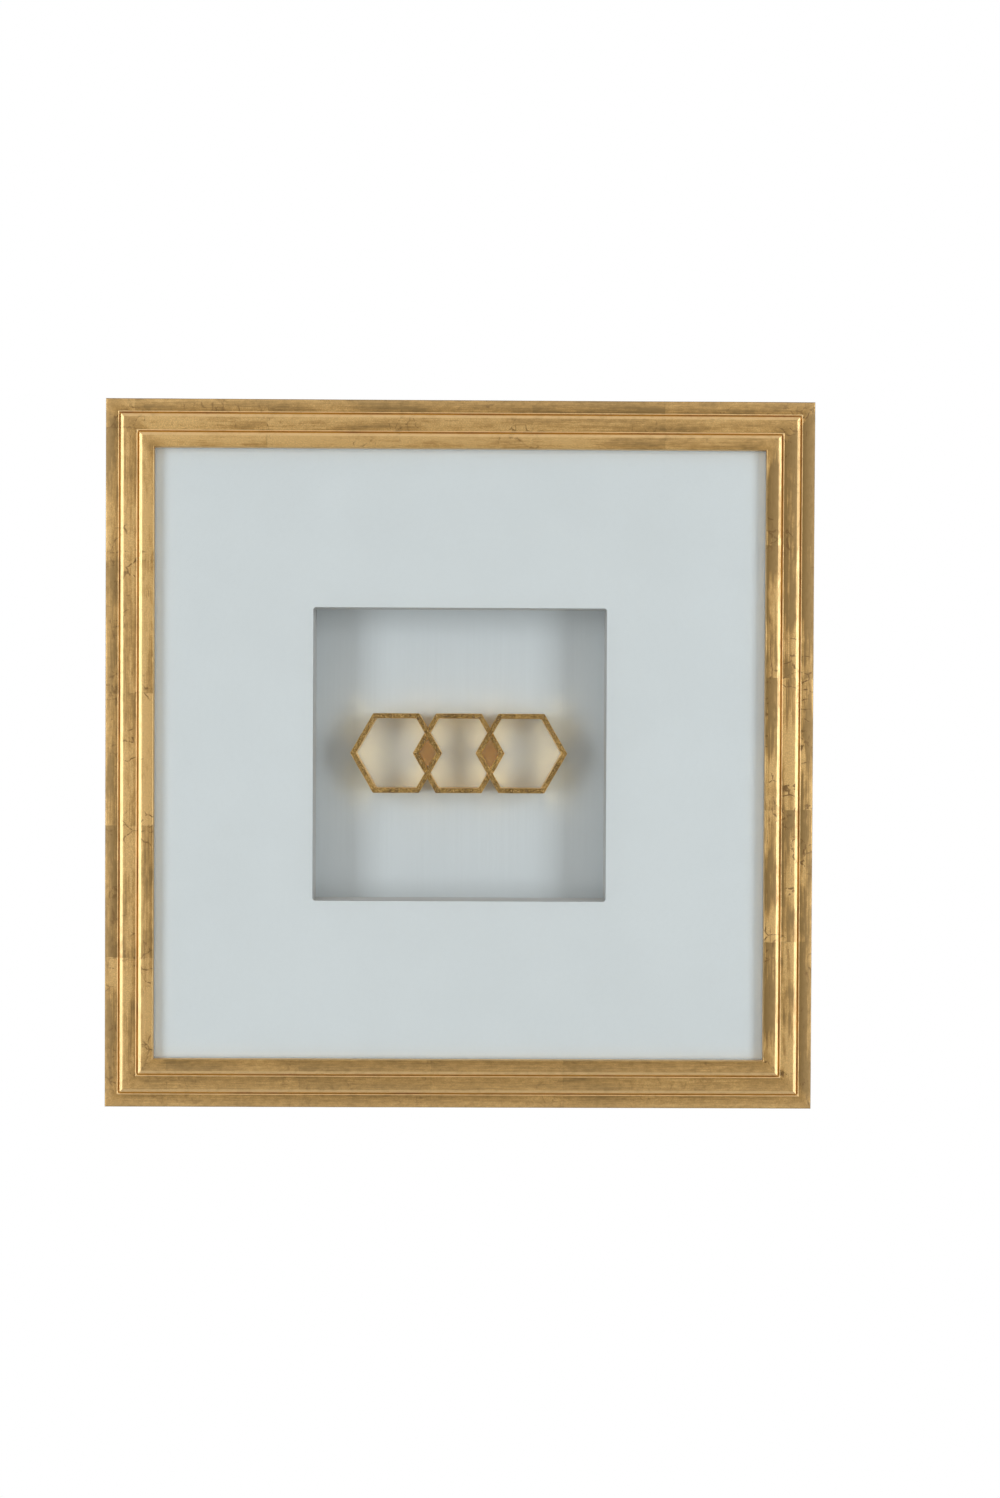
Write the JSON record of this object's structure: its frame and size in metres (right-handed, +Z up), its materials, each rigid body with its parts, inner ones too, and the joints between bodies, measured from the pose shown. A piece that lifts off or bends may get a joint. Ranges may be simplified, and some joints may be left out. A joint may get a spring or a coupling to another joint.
{
  "type": "shadow-box frame",
  "caption": "Square gilded shadow-box frame with a pale window mat and interlocked hexagon rings floating in a deep recess.",
  "frame": {"origin": "centre of the square frame, on the plane of the wall that it hangs on", "axes": "+Z up, +X to the right when facing the picture, +Y into the wall; the picture faces -Y"},
  "size_m": [0.686, 0.076, 0.686],
  "materials": {
    "gilded_rail": "satin",
    "gilded_ring": "satin",
    "steel_fixings": "satin",
    "clear_pane": "polished",
    "mat_board": "matte",
    "painted_board": "matte",
    "bare_wood": "matte",
    "filler_board": "matte",
    "hardboard": "matte",
    "zinc_hardware": "satin",
    "felt": "matte"
  },
  "bodies": {
    "frame": {"rail_top": "gilded_rail", "rail_bottom": "gilded_rail", "rail_left": "gilded_rail", "rail_right": "gilded_rail", "corner_v_nails": "steel_fixings", "clear_pane": "clear_pane", "window_mat": "mat_board", "recess_wall_top": "painted_board", "recess_wall_bottom": "painted_board", "recess_wall_left": "painted_board", "recess_wall_right": "painted_board", "spacer_top": "bare_wood", "spacer_bottom": "bare_wood", "spacer_left": "bare_wood", "spacer_right": "bare_wood", "mount_panel": "painted_board", "filler_board": "filler_board", "backing_board": "hardboard", "hexagon_left": "gilded_ring", "hexagon_center": "gilded_ring", "hexagon_right": "gilded_ring", "ring_pins": "steel_fixings", "turn_button_screws": "zinc_hardware", "hanger_strap_left": "zinc_hardware", "hanger_strap_right": "zinc_hardware", "hanger_screws": "zinc_hardware", "bumper_left": "felt", "bumper_right": "felt"},
    "turn_button_top_left": {"turn_button_top_left": "zinc_hardware"},
    "turn_button_top_right": {"turn_button_top_right": "zinc_hardware"},
    "turn_button_right_upper": {"turn_button_right_upper": "zinc_hardware"},
    "turn_button_right_lower": {"turn_button_right_lower": "zinc_hardware"},
    "turn_button_bottom_right": {"turn_button_bottom_right": "zinc_hardware"},
    "turn_button_bottom_left": {"turn_button_bottom_left": "zinc_hardware"},
    "turn_button_left_lower": {"turn_button_left_lower": "zinc_hardware"},
    "turn_button_left_upper": {"turn_button_left_upper": "zinc_hardware"},
    "hanger_ring_left": {"hanger_ring_left": "zinc_hardware"},
    "hanger_ring_right": {"hanger_ring_right": "zinc_hardware"}
  },
  "joints": [
    {"name": "turn_button_top_left_turn", "type": "hinge", "parent": "frame", "child": "turn_button_top_left", "pos_m": [-0.215, -0.006, 0.315], "axis": [0, 1, 0], "continuous": true},
    {"name": "turn_button_top_right_turn", "type": "hinge", "parent": "frame", "child": "turn_button_top_right", "pos_m": [0.215, -0.006, 0.315], "axis": [0, 1, 0], "continuous": true},
    {"name": "turn_button_right_upper_turn", "type": "hinge", "parent": "frame", "child": "turn_button_right_upper", "pos_m": [0.315, -0.006, 0.215], "axis": [0, 1, 0], "continuous": true},
    {"name": "turn_button_right_lower_turn", "type": "hinge", "parent": "frame", "child": "turn_button_right_lower", "pos_m": [0.315, -0.006, -0.215], "axis": [0, 1, 0], "continuous": true},
    {"name": "turn_button_bottom_right_turn", "type": "hinge", "parent": "frame", "child": "turn_button_bottom_right", "pos_m": [0.215, -0.006, -0.315], "axis": [0, 1, 0], "continuous": true},
    {"name": "turn_button_bottom_left_turn", "type": "hinge", "parent": "frame", "child": "turn_button_bottom_left", "pos_m": [-0.215, -0.006, -0.315], "axis": [0, 1, 0], "continuous": true},
    {"name": "turn_button_left_lower_turn", "type": "hinge", "parent": "frame", "child": "turn_button_left_lower", "pos_m": [-0.315, -0.006, -0.215], "axis": [0, 1, 0], "continuous": true},
    {"name": "turn_button_left_upper_turn", "type": "hinge", "parent": "frame", "child": "turn_button_left_upper", "pos_m": [-0.315, -0.006, 0.215], "axis": [0, 1, 0], "continuous": true},
    {"name": "hanger_ring_left_swing", "type": "hinge", "parent": "frame", "child": "hanger_ring_left", "pos_m": [-0.323, -0.00322, 0.114], "axis": [1, 0, 0], "range_deg": [0, 175]},
    {"name": "hanger_ring_right_swing", "type": "hinge", "parent": "frame", "child": "hanger_ring_right", "pos_m": [0.323, -0.00322, 0.114], "axis": [1, 0, 0], "range_deg": [0, 175]}
  ]
}
